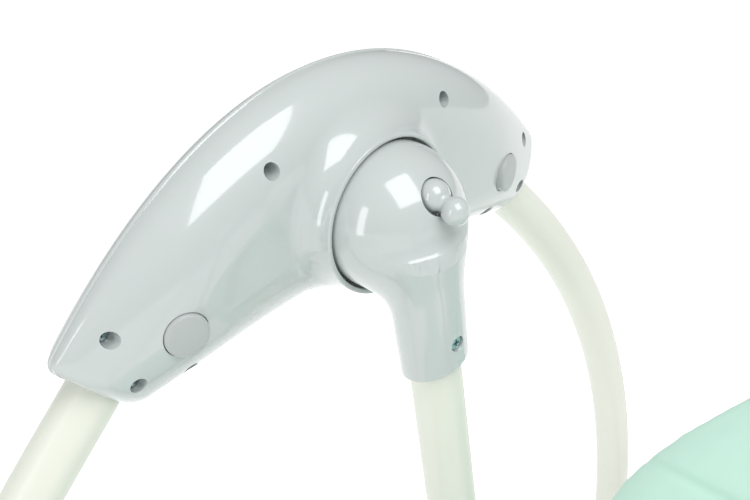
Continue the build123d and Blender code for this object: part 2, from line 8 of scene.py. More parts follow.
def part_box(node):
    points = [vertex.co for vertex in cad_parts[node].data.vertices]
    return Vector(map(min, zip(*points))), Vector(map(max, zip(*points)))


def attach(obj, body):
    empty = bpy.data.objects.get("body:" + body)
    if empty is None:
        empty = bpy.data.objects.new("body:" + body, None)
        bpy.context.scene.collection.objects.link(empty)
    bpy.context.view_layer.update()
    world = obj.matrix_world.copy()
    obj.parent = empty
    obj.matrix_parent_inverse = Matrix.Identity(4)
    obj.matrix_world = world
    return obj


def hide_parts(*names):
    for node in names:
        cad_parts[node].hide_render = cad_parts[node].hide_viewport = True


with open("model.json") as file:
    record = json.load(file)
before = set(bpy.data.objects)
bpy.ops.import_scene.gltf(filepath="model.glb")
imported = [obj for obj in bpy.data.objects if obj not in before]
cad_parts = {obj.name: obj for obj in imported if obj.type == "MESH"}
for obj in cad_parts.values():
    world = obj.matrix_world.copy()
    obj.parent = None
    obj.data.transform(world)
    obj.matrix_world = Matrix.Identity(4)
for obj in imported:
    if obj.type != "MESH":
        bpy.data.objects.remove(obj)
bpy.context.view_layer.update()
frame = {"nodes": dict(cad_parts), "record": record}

nodes = frame["nodes"]
mm = 0.001
pivotHeight = 0.5
hubX = 0.215
print("frame loaded:", len(nodes), "nodes")

# The camera looks down on the left hub from the seat's front corner; metres and degrees
view = {"place": (0.0997, -0.3269, 0.7421), "azimuth": 44.82, "elevation": 29.88, "roll": -0.66, "lens": 53.98,
        "sensor": 36, "clipStart": 0.01}


def makeCamera():
    data = bpy.data.cameras.new("camera")
    data.lens = view["lens"]
    data.sensor_width = view["sensor"]
    data.clip_start = view["clipStart"]
    camera = bpy.data.objects.new("camera", data)
    bpy.context.scene.collection.objects.link(camera)
    azimuth, elevation = math.radians(view["azimuth"]), math.radians(view["elevation"])
    back = Vector((math.sin(azimuth) * math.cos(elevation), -math.cos(azimuth) * math.cos(elevation),
                   math.sin(elevation)))
    turn = back.to_track_quat("Z", "Y") @ Matrix.Rotation(math.radians(view["roll"]), 4, "Z").to_quaternion()
    camera.rotation_mode = "QUATERNION"
    camera.rotation_quaternion = turn
    camera.location = view["place"]
    bpy.context.scene.camera = camera


makeCamera()
print("camera placed")


# Shader groups, each built once and placed in materials with their own values
def newGroup(name, inputs, outputs):
    group = bpy.data.node_groups.new(name, "ShaderNodeTree")
    for label, kind, value in inputs:
        socket = group.interface.new_socket(label, in_out="INPUT", socket_type=kind)
        socket.default_value = value
    for label, kind in outputs:
        group.interface.new_socket(label, in_out="OUTPUT", socket_type=kind)
    return group, group.nodes.new("NodeGroupInput"), group.nodes.new("NodeGroupOutput")


skinPattern = {"slowScale": 14, "slowDetail": 3, "fineDetail": 2, "grainHeight": 0.0002}


def mouldedSkin():
    # Fine mould texture with slow waves, and a roughness that wanders a little from place to place
    group, given, put = newGroup("mouldedSkin", [
        ("Colour", "NodeSocketColor", (0.6, 0.6, 0.6, 1)), ("Tint", "NodeSocketColor", (0.5, 0.5, 0.5, 1)),
        ("Roughness", "NodeSocketFloat", 0.2), ("Wander", "NodeSocketFloat", 0.05),
        ("Grain", "NodeSocketFloat", 900.0), ("Depth", "NodeSocketFloat", 0.05)],
        [("Colour", "NodeSocketColor"), ("Roughness", "NodeSocketFloat"), ("Normal", "NodeSocketVector")])
    tree, link = group.nodes, group.links.new
    place = tree.new("ShaderNodeTexCoord")
    slow = tree.new("ShaderNodeTexNoise")
    slow.inputs["Scale"].default_value = skinPattern["slowScale"]
    slow.inputs["Detail"].default_value = skinPattern["slowDetail"]
    link(place.outputs["Object"], slow.inputs["Vector"])
    fine = tree.new("ShaderNodeTexNoise")
    fine.inputs["Detail"].default_value = skinPattern["fineDetail"]
    link(place.outputs["Object"], fine.inputs["Vector"])
    link(given.outputs["Grain"], fine.inputs["Scale"])
    mix = tree.new("ShaderNodeMix")
    mix.data_type = "RGBA"
    link(slow.outputs["Fac"], mix.inputs["Factor"])
    link(given.outputs["Colour"], mix.inputs["A"])
    link(given.outputs["Tint"], mix.inputs["B"])
    link(mix.outputs["Result"], put.inputs["Colour"])
    centred = tree.new("ShaderNodeMath")
    centred.operation = "SUBTRACT"
    link(slow.outputs["Fac"], centred.inputs[0])
    centred.inputs[1].default_value = 0.5
    swing = tree.new("ShaderNodeMath")
    swing.operation = "MULTIPLY_ADD"
    link(centred.outputs[0], swing.inputs[0])
    link(given.outputs["Wander"], swing.inputs[1])
    link(given.outputs["Roughness"], swing.inputs[2])
    link(swing.outputs[0], put.inputs["Roughness"])
    bump = tree.new("ShaderNodeBump")
    bump.inputs["Distance"].default_value = skinPattern["grainHeight"]
    link(given.outputs["Depth"], bump.inputs["Strength"])
    link(fine.outputs["Fac"], bump.inputs["Height"])
    link(bump.outputs["Normal"], put.inputs["Normal"])
    return group


weavePattern = {"threadWobble": 1.5, "wobbleScale": 2, "napScale": 60, "napDetail": 6, "threadHeight": 0.0004}


def clothWeave():
    # Two crossed sets of threads with a soft nap over them
    group, given, put = newGroup("clothWeave", [
        ("Colour", "NodeSocketColor", (0.7, 0.9, 0.8, 1)), ("Shade", "NodeSocketColor", (0.6, 0.8, 0.7, 1)),
        ("Threads", "NodeSocketFloat", 900.0), ("Depth", "NodeSocketFloat", 0.3)],
        [("Colour", "NodeSocketColor"), ("Normal", "NodeSocketVector")])
    tree, link = group.nodes, group.links.new
    place = tree.new("ShaderNodeTexCoord")
    waves = []
    for direction in ("X", "Y"):
        wave = tree.new("ShaderNodeTexWave")
        wave.bands_direction = direction
        wave.inputs["Distortion"].default_value = weavePattern["threadWobble"]
        wave.inputs["Detail Scale"].default_value = weavePattern["wobbleScale"]
        link(place.outputs["Object"], wave.inputs["Vector"])
        link(given.outputs["Threads"], wave.inputs["Scale"])
        waves.append(wave)
    cross = tree.new("ShaderNodeMath")
    cross.operation = "MULTIPLY"
    link(waves[0].outputs["Fac"], cross.inputs[0])
    link(waves[1].outputs["Fac"], cross.inputs[1])
    nap = tree.new("ShaderNodeTexNoise")
    nap.inputs["Scale"].default_value = weavePattern["napScale"]
    nap.inputs["Detail"].default_value = weavePattern["napDetail"]
    link(place.outputs["Object"], nap.inputs["Vector"])
    total = tree.new("ShaderNodeMath")
    total.operation = "ADD"
    link(cross.outputs[0], total.inputs[0])
    link(nap.outputs["Fac"], total.inputs[1])
    mix = tree.new("ShaderNodeMix")
    mix.data_type = "RGBA"
    link(nap.outputs["Fac"], mix.inputs["Factor"])
    link(given.outputs["Colour"], mix.inputs["A"])
    link(given.outputs["Shade"], mix.inputs["B"])
    link(mix.outputs["Result"], put.inputs["Colour"])
    bump = tree.new("ShaderNodeBump")
    bump.inputs["Distance"].default_value = weavePattern["threadHeight"]
    link(given.outputs["Depth"], bump.inputs["Strength"])
    link(total.outputs[0], bump.inputs["Height"])
    link(bump.outputs["Normal"], put.inputs["Normal"])
    return group


skinGroup = mouldedSkin()
weaveGroup = clothWeave()


def newFinish(name, group, settings):
    # A material whose shader takes its colour and normal from a group with these values
    material = bpy.data.materials.new(name)
    material.use_nodes = True
    tree = material.node_tree
    shader = tree.nodes["Principled BSDF"]
    pattern = tree.nodes.new("ShaderNodeGroup")
    pattern.node_tree = group
    for label, value in settings.items():
        pattern.inputs[label].default_value = value
    tree.links.new(pattern.outputs["Colour"], shader.inputs["Base Color"])
    tree.links.new(pattern.outputs["Normal"], shader.inputs["Normal"])
    return material, pattern, shader


def hard(name, colour, tint=None, roughness=0.3, wander=0.06, grain=900.0, depth=0.05, metal=0.0, coat=0.0):
    tint = tint or [0.94 * channel for channel in colour]
    material, skin, shader = newFinish(name, skinGroup, {
        "Colour": (*colour, 1), "Tint": (*tint, 1), "Roughness": roughness, "Wander": wander, "Grain": grain,
        "Depth": depth})
    material.node_tree.links.new(skin.outputs["Roughness"], shader.inputs["Roughness"])
    shader.inputs["Metallic"].default_value = metal
    shader.inputs["Coat Weight"].default_value = coat
    return material


def woven(name, colour, shade, threads=900.0, depth=0.3, sheen=0.3):
    material, _, shader = newFinish(name, weaveGroup, {
        "Colour": (*colour, 1), "Shade": (*shade, 1), "Threads": threads, "Depth": depth})
    shader.inputs["Roughness"].default_value = 0.85
    shader.inputs["Sheen Weight"].default_value = sheen
    return material


finishes = {
    "hub_plastic": hard("glossyGrey", (0.56, 0.595, 0.59), (0.53, 0.57, 0.565), 0.16, 0.03, 500.0, 0.02, coat=0.8),
    "button_plastic": hard("satinGrey", (0.47, 0.495, 0.49), (0.45, 0.475, 0.47), 0.42, 0.06, 1500.0, 0.2),
    "cream_tube": hard("creamPaint", (0.80, 0.815, 0.73), (0.78, 0.795, 0.71), 0.38, 0.05, 1200.0, 0.12, coat=0.15),
    "bare_steel": hard("bareSteel", (0.55, 0.56, 0.57), None, 0.34, 0.1, 1800.0, 0.15, metal=1.0),
    # The zinc's blue-green colour is partly the plating's own tone and partly a painted blue-green reflection
    "zinc": hard("zincWithPaintedReflection", (0.50, 0.60, 0.62), (0.38, 0.55, 0.58), 0.28, 0.15, 1500.0, 0.1, metal=1.0),
    "black_rubber": hard("blackRubber", (0.03, 0.03, 0.032), (0.05, 0.05, 0.05), 0.75, 0.1, 1400.0, 0.4),
    "nylon": hard("whiteNylon", (0.74, 0.74, 0.70), None, 0.5, 0.05, 900.0, 0.1),
    "dark_plastic": hard("darkPlastic", (0.30, 0.32, 0.32), (0.27, 0.29, 0.29), 0.5, 0.08, 1600.0, 0.3),
    "copper": hard("copperWire", (0.66, 0.30, 0.14), None, 0.3, 0.1, 2500.0, 0.4, metal=1.0),
    "magnet": hard("magnetNickel", (0.42, 0.42, 0.43), None, 0.25, 0.1, 900.0, 0.1, metal=1.0),
    "board": hard("circuitBoard", (0.03, 0.16, 0.08), (0.04, 0.20, 0.10), 0.35, 0.1, 1500.0, 0.1),
    "cell": hard("cellJacket", (0.12, 0.14, 0.16), (0.16, 0.18, 0.20), 0.3, 0.05, 900.0, 0.05),
    "panel_plastic": hard("palePanel", (0.76, 0.78, 0.76), None, 0.35, 0.05, 1300.0, 0.15),
    "mint_fabric": woven("mintFabric", (0.60, 0.85, 0.74), (0.54, 0.80, 0.69), 1100.0, 0.25),
    "webbing": woven("greyWebbing", (0.36, 0.42, 0.40), (0.30, 0.36, 0.34), 1500.0, 0.6, 0.1),
}
slotOf = {sub["node"]: sub["material_slot"] for sub in frame["record"]["subparts"]}
for nodeName, node in nodes.items():
    node.data.materials.clear()
    node.data.materials.append(finishes[slotOf[nodeName]])
print("materials made")


# Mesh helpers
def newObject(name, bm):
    mesh = bpy.data.meshes.new(name)
    bm.to_mesh(mesh)
    bm.free()
    piece = bpy.data.objects.new(name, mesh)
    bpy.context.scene.collection.objects.link(piece)
    return piece


def settle(piece, body, slotName, stands, sharp=35):
    # Finishes a piece, puts it on its body and hides the nodes that it stands for; sharp is in degrees
    mesh = piece.data
    mesh.materials.clear()
    mesh.materials.append(finishes[slotName])
    for polygon in mesh.polygons:
        polygon.use_smooth = True
    if sharp:
        mesh.set_sharp_from_angle(angle=math.radians(sharp))
    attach(piece, body)
    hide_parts(*stands)


def applyModifiers(piece):
    bpy.context.view_layer.update()
    done = bpy.data.meshes.new_from_object(piece.evaluated_get(bpy.context.evaluated_depsgraph_get()))
    piece.modifiers.clear()
    old = piece.data
    piece.data = done
    bpy.data.meshes.remove(old)


def cut(piece, tool, operation="DIFFERENCE"):
    modifier = piece.modifiers.new("cut", "BOOLEAN")
    modifier.solver = "EXACT"
    modifier.operation = operation
    modifier.object = tool
    applyModifiers(piece)
    bpy.data.objects.remove(tool)


def closedRing(bm, places):
    verts = [bm.verts.new(place) for place in places]
    edges = [bm.edges.new((verts[i], verts[(i + 1) % len(verts)])) for i in range(len(verts))]
    return verts, edges


def drawOut(bm, verts, edges, places):
    # Extrudes a ring of edges and sets the new ring's vertices in the same order
    grown = bmesh.ops.extrude_edge_only(bm, edges=edges)["geom"]
    fresh = {item for item in grown if isinstance(item, bmesh.types.BMVert)}
    newVerts = []
    for vert, place in zip(verts, places):
        twin = next(edge.other_vert(vert) for edge in vert.link_edges if edge.other_vert(vert) in fresh)
        twin.co = place
        newVerts.append(twin)
    newEdges = [item for item in grown if isinstance(item, bmesh.types.BMEdge)
                and item.verts[0] in fresh and item.verts[1] in fresh]
    return newVerts, newEdges


def loftRings(rings):
    # A closed solid through rings of equally many places, capped at both ends
    bm = bmesh.new()
    verts, edges = closedRing(bm, rings[0])
    first = edges
    for places in rings[1:]:
        verts, edges = drawOut(bm, verts, edges, places)
    for loop in (first, edges):
        bmesh.ops.contextual_create(bm, geom=loop)
    bmesh.ops.recalc_face_normals(bm, faces=bm.faces)
    return bm


def turned(profile, origin, axis, segments=64):
    # A profile of (radius, height) points, spun about an axis
    direction = Vector(axis).normalized()
    across = direction.orthogonal().normalized()
    bm = bmesh.new()
    verts = [bm.verts.new(Vector(origin) + across * radius + direction * height) for radius, height in profile]
    edges = [bm.edges.new(pair) for pair in zip(verts, verts[1:])]
    bmesh.ops.spin(bm, geom=verts + edges, cent=origin, axis=direction, angle=2 * math.pi, steps=segments,
                   use_merge=True)
    bmesh.ops.remove_doubles(bm, verts=bm.verts, dist=1e-6)
    bmesh.ops.recalc_face_normals(bm, faces=bm.faces)
    return bm


def rodBetween(bm, start, end, radius, segments=48):
    # A plain capped cylinder between two points, for cutting and joining
    start, end = Vector(start), Vector(end)
    direction = end - start
    turn = direction.to_track_quat("Z", "Y").to_matrix().to_4x4()
    bmesh.ops.create_cone(bm, cap_ends=True, segments=segments, radius1=radius, radius2=radius,
                          depth=direction.length, matrix=Matrix.Translation((start + end) / 2) @ turn)


def hubPlace(x, y, z):
    # A place in the left hub from millimetres past the collar plane, to the rear and over the pivot
    return Vector((-hubX + x * mm, y * mm, pivotHeight + z * mm))


def mirroredCopy(piece, name):
    bm = bmesh.new()
    bm.from_mesh(piece.data)
    bmesh.ops.scale(bm, verts=bm.verts, vec=(-1, 1, 1))
    bmesh.ops.reverse_faces(bm, faces=bm.faces)
    return newObject(name, bm)


# The hub's covers, in millimetres. The two arched edges are the crown and the belly, and each cover is a skin drawn
# from the seam over its face. The face of the inner cover falls away towards its ends, and carries the collar.
hub = {
    "crown": 63.6, "crownBend": 3.3287e-3, "crownCurl": 8.79e-9,
    "belly": -42.0, "bellyBend": 1.074e-3, "endReach": 130.1, "cornerSoftness": 7.0,
    "seam": 41.0, "wall": 2.6, "columns": 320, "seamLip": 2.6, "groove": 0.35,
    "fallSlope": 0.311, "fallStart": 102.0, "fallSoftness": 9.0,
    "collarRadius": 39.0, "collarGap": 1.5, "flare": 12.0, "slant": 1.35, "bellyRounding": 12.0,
    "outerFall": 6.0, "outerReach": 165.0, "wallRings": 7, "faceRings": 46, "ringSpread": 1.6,
    "seamGap": 0.02, "cavityPastSeam": 3.0, "faceCentre": 3.0,
}
collarLip = [(39.0, -0.45), (38.9, -0.2), (38.6, 0.0), (38.1, 0.1), (37.4, 0.1), (36.95, -0.05), (36.7, -0.4),
             (36.6, -0.9), (36.6, -11.0)]
innerSide = {"face": 13.0, "sign": 1, "rounding": 34.0, "endRounding": 8.0, "falls": True, "bulge": 0.0}
outerSide = {"face": 78.0, "sign": -1, "rounding": 50.0, "endRounding": 10.0, "falls": False, "bulge": 0.5}


def roundOver(distance, width):
    inside = max(0.0, 1 - max(0.0, distance) / width)
    return math.sqrt(max(0.0, 1 - inside * inside))


def slantOver(distance, width):
    # Like roundOver, but the skin leans back sooner after the seam
    inside = max(0.0, 1 - max(0.0, distance) / width)
    return max(0.0, 1 - inside ** hub["slant"]) ** (1 / hub["slant"])


def softMin(a, b, softness):
    blend = max(softness - abs(a - b), 0.0) / softness
    return min(a, b) - blend * blend * softness * 0.25


def edgeDistances(y, z):
    reach = abs(y)
    crown = hub["crown"] - hub["crownBend"] * reach ** 2 - hub["crownCurl"] * reach ** 4
    crownSlope = 2 * hub["crownBend"] * reach + 4 * hub["crownCurl"] * reach ** 3
    belly = hub["belly"] - hub["bellyBend"] * reach ** 2
    bellySlope = 2 * hub["bellyBend"] * reach
    return ((crown - z) / math.hypot(1, crownSlope), (z - belly) / math.hypot(1, bellySlope),
            hub["endReach"] - (reach - z) * math.sqrt(0.5))


def insideBy(y, z):
    top, bottom, end = edgeDistances(y, z)
    return softMin(softMin(top, end, hub["cornerSoftness"]), softMin(bottom, end, hub["cornerSoftness"]), 0.5)


def outlinePoint(angle, inset):
    # Where a ray from the pivot meets the outline, found by halving
    low, high = 5.0, 220.0
    for _ in range(40):
        middle = (low + high) / 2
        if insideBy(middle * math.cos(angle), middle * math.sin(angle)) > inset:
            low = middle
        else:
            high = middle
    return low * math.cos(angle), low * math.sin(angle)


def outlineAngles(inset, count):
    # Angles about the pivot that step evenly along the outline
    trials = 2000
    fine = [2 * math.pi * i / trials for i in range(trials + 1)]
    points = [outlinePoint(angle, inset) for angle in fine]
    lengths = [0.0]
    for here, after in zip(points, points[1:]):
        lengths.append(lengths[-1] + math.dist(here, after))
    angles, at = [], 0
    for i in range(count):
        goal = lengths[-1] * i / count
        while lengths[at + 1] < goal:
            at += 1
        part = (goal - lengths[at]) / (lengths[at + 1] - lengths[at])
        angles.append(fine[at] + part * (fine[at + 1] - fine[at]))
    return angles


def faceDepth(y, side):
    if not side["falls"]:
        return side["face"] - hub["outerFall"] * (min(abs(y), hub["outerReach"]) / hub["outerReach"]) ** 2
    fall = math.log(1 + math.exp((abs(y) - hub["fallStart"]) / hub["fallSoftness"]))
    return side["face"] + hub["fallSlope"] * hub["fallSoftness"] * fall


def surfaceDepth(y, z, side, inset):
    # Depth behind the collar plane of one cover's skin, in millimetres
    top, bottom, end = (distance - inset for distance in edgeDistances(y, z))
    face = faceDepth(y, side) + side["sign"] * inset
    travel = abs(face - hub["seam"]) - hub["seamLip"]
    if side["falls"]:
        risen = travel * roundOver(top, side["rounding"]) * roundOver(bottom, side["rounding"])
    else:
        risen = travel * slantOver(top, side["rounding"]) * roundOver(bottom, hub["bellyRounding"])
    risen -= side["endRounding"] * (1 - roundOver(end, side["endRounding"]))
    return hub["seam"] - side["sign"] * (hub["seamLip"] + max(0.0, risen))


def collarRise(y, z, bodyRise):
    # The concave flare that carries the collar out of the body, and ends upright at the collar's rim
    out = max(0.0, 1 - (math.hypot(y, z) - hub["collarRadius"]) / hub["flare"])
    return (hub["seam"] - hub["collarGap"] - bodyRise) * (1 - math.sqrt(max(0.0, 1 - out * out)))


def coverSolid(name, side, inset, collar):
    # One cover as a filled solid; inset is 0 for the outside and the wall's thickness for the cavity
    angles = outlineAngles(inset, hub["columns"])
    outline = [outlinePoint(angle, inset) for angle in angles]
    innerRadius = hub["collarRadius"] if collar else hub["faceCentre"]
    centre = [(innerRadius * math.cos(a), innerRadius * math.sin(a)) for a in angles]
    seamPlane = hub["seam"] + side["sign"] * (hub["cavityPastSeam"] if inset else -hub["seamGap"])
    rings = []
    for k in range(hub["wallRings"]):
        part = k / hub["wallRings"]
        groove = hub["groove"] if k == 0 and not inset else 0.0
        swell = 0.0 if inset else side["bulge"] * math.sin(math.pi * part)
        ring = []
        for y, z in outline:
            depth = seamPlane + (surfaceDepth(y, z, side, inset) - seamPlane) * part
            scale = 1 + (swell - groove) / math.hypot(y, z)
            ring.append(hubPlace(-depth, y * scale, z * scale))
        rings.append(ring)
    for k in range(hub["faceRings"] + 1):
        part = (k / hub["faceRings"]) ** hub["ringSpread"]
        ring = []
        for (y0, z0), (y1, z1) in zip(outline, centre):
            y, z = y0 + (y1 - y0) * part, z0 + (z1 - z0) * part
            depth = surfaceDepth(y, z, side, inset)
            if collar:
                depth -= collarRise(y, z, hub["seam"] - depth)
            ring.append(hubPlace(-depth, y, z))
        rings.append(ring)
    if collar:
        for radius, height in collarLip:
            rings.append([hubPlace(height, radius * math.cos(a), radius * math.sin(a)) for a in angles])
    return newObject(name, loftRings(rings))


# Screws as (depth of the head, reach from the pivot, height over the pivot), the same to the front and the rear
screwPlaces = [(20.0, 54.5, 35.5), (27.5, 135.2, -15.5), (21.8, 127.8, -39.9), (24.5, 100.8, -45.8)]
screwBore = {"post": 5.4, "recess": 3.75, "shank": 1.7, "sink": 9, "postTop": -5, "postFoot": -46, "through": -50}
buttonSpot = {"depth": 15.0, "reach": 106.5, "height": -21.6, "tilt": 17.3, "radius": 10.2, "gap": 0.4,
              "guide": 13.0, "guideBehind": 9, "guideAhead": 10, "boreBehind": 30, "boreAhead": 20}
legBore = {"plane": 46.5, "reach": 96.0, "height": -9.5, "radius": 12.75, "run": 90}
axleBore = {"top": -11.5, "foot": -60, "radius": 36.5}
ends = (-1, 1)  # front and rear


def buttonFrame(end):
    tilt = math.radians(buttonSpot["tilt"])
    centre = hubPlace(-buttonSpot["depth"], end * buttonSpot["reach"], buttonSpot["height"])
    return centre, Vector((math.cos(tilt), end * math.sin(tilt), 0))


def addLegBore(bm, end):
    start = hubPlace(-legBore["plane"], end * legBore["reach"], legBore["height"])
    rodBetween(bm, start, start + Vector((0, end, -1)) * legBore["run"] * mm, legBore["radius"] * mm, 96)


def innerCover():
    cover = coverSolid("hubInnerCover", innerSide, 0.0, True)
    cavity = coverSolid("innerCavity", innerSide, hub["wall"], False)
    posts = bmesh.new()
    for _, reach, height in screwPlaces:
        for end in ends:
            rodBetween(posts, hubPlace(screwBore["postTop"], end * reach, height),
                       hubPlace(screwBore["postFoot"], end * reach, height), screwBore["post"] * mm)
    for end in ends:
        centre, normal = buttonFrame(end)
        rodBetween(posts, centre - normal * buttonSpot["guideBehind"] * mm,
                   centre + normal * buttonSpot["guideAhead"] * mm, buttonSpot["guide"] * mm)
    cut(cavity, newObject("posts", posts))
    cut(cover, cavity)
    holes = bmesh.new()
    for depth, reach, height in screwPlaces:
        floor = -depth - screwBore["sink"]
        for end in ends:
            rodBetween(holes, hubPlace(10, end * reach, height), hubPlace(floor, end * reach, height),
                       screwBore["recess"] * mm)
            rodBetween(holes, hubPlace(floor + 1, end * reach, height),
                       hubPlace(screwBore["through"], end * reach, height), screwBore["shank"] * mm, 24)
    for end in ends:
        centre, normal = buttonFrame(end)
        rodBetween(holes, centre - normal * buttonSpot["boreBehind"] * mm,
                   centre + normal * buttonSpot["boreAhead"] * mm, (buttonSpot["radius"] + buttonSpot["gap"]) * mm, 96)
        addLegBore(holes, end)
    rodBetween(holes, hubPlace(axleBore["top"], 0, 0), hubPlace(axleBore["foot"], 0, 0), axleBore["radius"] * mm, 128)
    cut(cover, newObject("holes", holes))
    return cover


leftInner = innerCover()
rightInner = mirroredCopy(leftInner, "hubInnerCoverRight")
settle(leftInner, "base", "hub_plastic", ["left_inner_cover"])
settle(rightInner, "base", "hub_plastic", ["right_inner_cover"])
print("inner covers made:", len(leftInner.data.polygons), "faces each")


def outerCover():
    cover = coverSolid("hubOuterCover", outerSide, 0.0, False)
    cavity = coverSolid("outerCavity", outerSide, hub["wall"], False)
    cut(cover, cavity)
    holes = bmesh.new()
    for end in ends:
        addLegBore(holes, end)
    cut(cover, newObject("holes", holes))
    return cover


leftOuter = outerCover()
settle(leftOuter, "base", "hub_plastic", ["left_outer_cover"])
rightOuter = mirroredCopy(leftOuter, "hubOuterCoverRight")
# Openings in the right cover: how far each window stands past its node, and the speaker's slots, in millimetres
windowMargins = {"control_panel": -3.2, "battery_tray": 0.25}
windowCut = {"x": 78, "depth": 30}
slots = {"x": 75, "rows": 5, "pitch": 4, "length": 18, "height": 2}


def openWindow(bm, x, middle, length, height):
    place = Matrix.Translation((hubX + x * mm, middle.y, middle.z))
    size = Matrix.Diagonal((windowCut["depth"] * mm, length, height, 1))
    bmesh.ops.create_cube(bm, size=1, matrix=place @ size)


windows = bmesh.new()
for nodeName, margin in windowMargins.items():
    low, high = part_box(nodeName)
    openWindow(windows, windowCut["x"], (low + high) / 2, high.y - low.y + 2 * margin * mm,
               high.z - low.z + 2 * margin * mm)
low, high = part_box("speaker")
for row in range(slots["rows"]):
    rise = Vector((0, 0, (row - (slots["rows"] - 1) / 2) * slots["pitch"] * mm))
    openWindow(windows, slots["x"], (low + high) / 2 + rise, slots["length"] * mm, slots["height"] * mm)
cut(rightOuter, newObject("windows", windows))
settle(rightOuter, "base", "hub_plastic", ["right_outer_cover"])
print("outer covers made")

# Leg release buttons, turned from a profile of radius and height in millimetres
buttonProfile = [(0, 1.5), (3.0, 1.46), (6.0, 1.32), (8.2, 1.12), (9.3, 0.9), (9.85, 0.55), (10.1, 0.1), (10.2, -0.5),
                 (10.2, -8.0), (0, -8.0)]
for end, endName in zip(ends, ("front", "rear")):
    centre, normal = buttonFrame(end)
    profile = [(radius * mm, height * mm) for radius, height in buttonProfile]
    button = newObject(f"{endName}LegButtonLeft", turned(profile, centre, normal, 96))
    other = mirroredCopy(button, f"{endName}LegButtonRight")
    settle(button, f"{endName}_left_leg_button", "button_plastic", [f"{endName}_left_leg_button"])
    settle(other, f"{endName}_right_leg_button", "button_plastic", [f"{endName}_right_leg_button"])
print("leg buttons made")

# Swing hubs, in millimetres from the pivot: a dome run together with the slanted socket that takes the arm
dome = {"radius": 35.3, "skirt": 9.0, "blend": 13.0, "voxel": 0.9, "passes": 4, "probe": 0.05,
        "hollow": 31, "hollowBack": -20, "hollowFront": 4}
neck = {"top": (24.5, -0.5, -40.0), "foot": (42.0, 23.0, -292.0), "topRadius": 17.6, "rimRadius": 16.0,
        "taperStart": -16, "taperLength": 62, "above": 34.0, "roughAbove": 30, "roughBelow": 60, "roughRadius": 17,
        "smoothBelow": 56, "rimAt": 28, "rimNormal": (-0.22, -0.31, 1), "bore": 12.7, "boreAbove": 2, "boreBelow": 80}
pegPocket = {"tilt": 34, "floor": 24.2, "top": 60, "radius": 9}
armScrew = {"along": 12, "out": 13.2, "past": 40, "radius": 3.9}
armTop = Vector(neck["top"])
armAxis = (Vector(neck["foot"]) - armTop).normalized()


def hubField(place):
    # Signed distance to the dome and its neck, run together with a soft blend
    sphere = place.length - dome["radius"]
    along = (place - armTop).dot(armAxis)
    across = (place - armTop - armAxis * along).length
    part = min(1.0, max(0.0, (along - neck["taperStart"]) / neck["taperLength"]))
    stem = across - (neck["topRadius"] + (neck["rimRadius"] - neck["topRadius"]) * part)
    stem = max(stem, -along - neck["above"])
    return softMin(sphere, stem, dome["blend"])


def pulledOn(place):
    # Moves a place onto the blended skin, down the field's slope
    probe = dome["probe"]
    for _ in range(dome["passes"]):
        value = hubField(place)
        slope = Vector([hubField(place + Vector(step)) - value for step in
                        ((probe, 0, 0), (0, probe, 0), (0, 0, probe))]) / probe
        place -= slope.normalized() * value
    return place


def cutRod(bm, start, end, radius, segments=96):
    rodBetween(bm, hubPlace(*start), hubPlace(*end), radius * mm, segments)


def cutBlock(piece, centre, size, turn=Matrix()):
    block = bmesh.new()
    bmesh.ops.create_cube(block, size=size * mm, matrix=Matrix.Translation(hubPlace(*centre)) @ turn)
    cut(piece, newObject("block", block))


def swingHub():
    ball = bmesh.new()
    bmesh.ops.create_icosphere(ball, subdivisions=5, radius=dome["radius"] * mm,
                               matrix=Matrix.Translation(hubPlace(0, 0, 0)))
    hubBody = newObject("swingHubLeft", ball)
    stem = bmesh.new()
    cutRod(stem, armTop - armAxis * neck["roughAbove"], armTop + armAxis * neck["roughBelow"], neck["roughRadius"], 48)
    cut(hubBody, newObject("stem", stem), "UNION")
    remesh = hubBody.modifiers.new("even", "REMESH")
    remesh.mode = "VOXEL"
    remesh.voxel_size = dome["voxel"] * mm
    applyModifiers(hubBody)
    origin = hubPlace(0, 0, 0)
    for vert in hubBody.data.vertices:
        place = (vert.co - origin) / mm
        if (place - armTop).dot(armAxis) <= neck["smoothBelow"]:
            vert.co = origin + pulledOn(place) * mm
    cutBlock(hubBody, (-100 - dome["skirt"], 0, 0), 200)  # everything behind the skirt
    rimNormal = Vector(neck["rimNormal"]).normalized()
    belowRim = armTop + armAxis * neck["rimAt"] - rimNormal * 50
    cutBlock(hubBody, belowRim, 100, rimNormal.to_track_quat("Z", "Y").to_matrix().to_4x4())
    tools = bmesh.new()
    cutRod(tools, armTop - armAxis * neck["boreAbove"], armTop + armAxis * neck["boreBelow"], neck["bore"])
    pocketTilt = math.radians(pegPocket["tilt"])
    pocket = Vector((math.cos(pocketTilt), 0, math.sin(pocketTilt)))
    cutRod(tools, pocket * pegPocket["floor"], pocket * pegPocket["top"], pegPocket["radius"])
    spot = armTop + armAxis * armScrew["along"]
    cutRod(tools, spot + Vector((armScrew["out"], 0, 0)), spot + Vector((armScrew["past"], 0, 0)),
           armScrew["radius"], 48)
    cutRod(tools, (dome["hollowBack"], 0, 0), (dome["hollowFront"], 0, 0), dome["hollow"])
    cut(hubBody, newObject("tools", tools))
    return hubBody


leftHub = swingHub()
rightHub = mirroredCopy(leftHub, "swingHubRight")
settle(leftHub, "swing", "hub_plastic", ["left_swing_hub"], sharp=40)
settle(rightHub, "swing", "hub_plastic", ["right_swing_hub"], sharp=40)
print("swing hubs made:", len(leftHub.data.polygons), "faces each")

# Pegs: two balls on a thin neck, in millimetres from the pivot
pegShape = {"base": (26.2, 0, 19.0), "tip": (38.7, 0, 15.8), "baseRadius": 7.5, "tipRadius": 6.5, "neckRadius": 4.3,
            "steps": 60}
pegLine = Vector(pegShape["tip"]) - Vector(pegShape["base"])


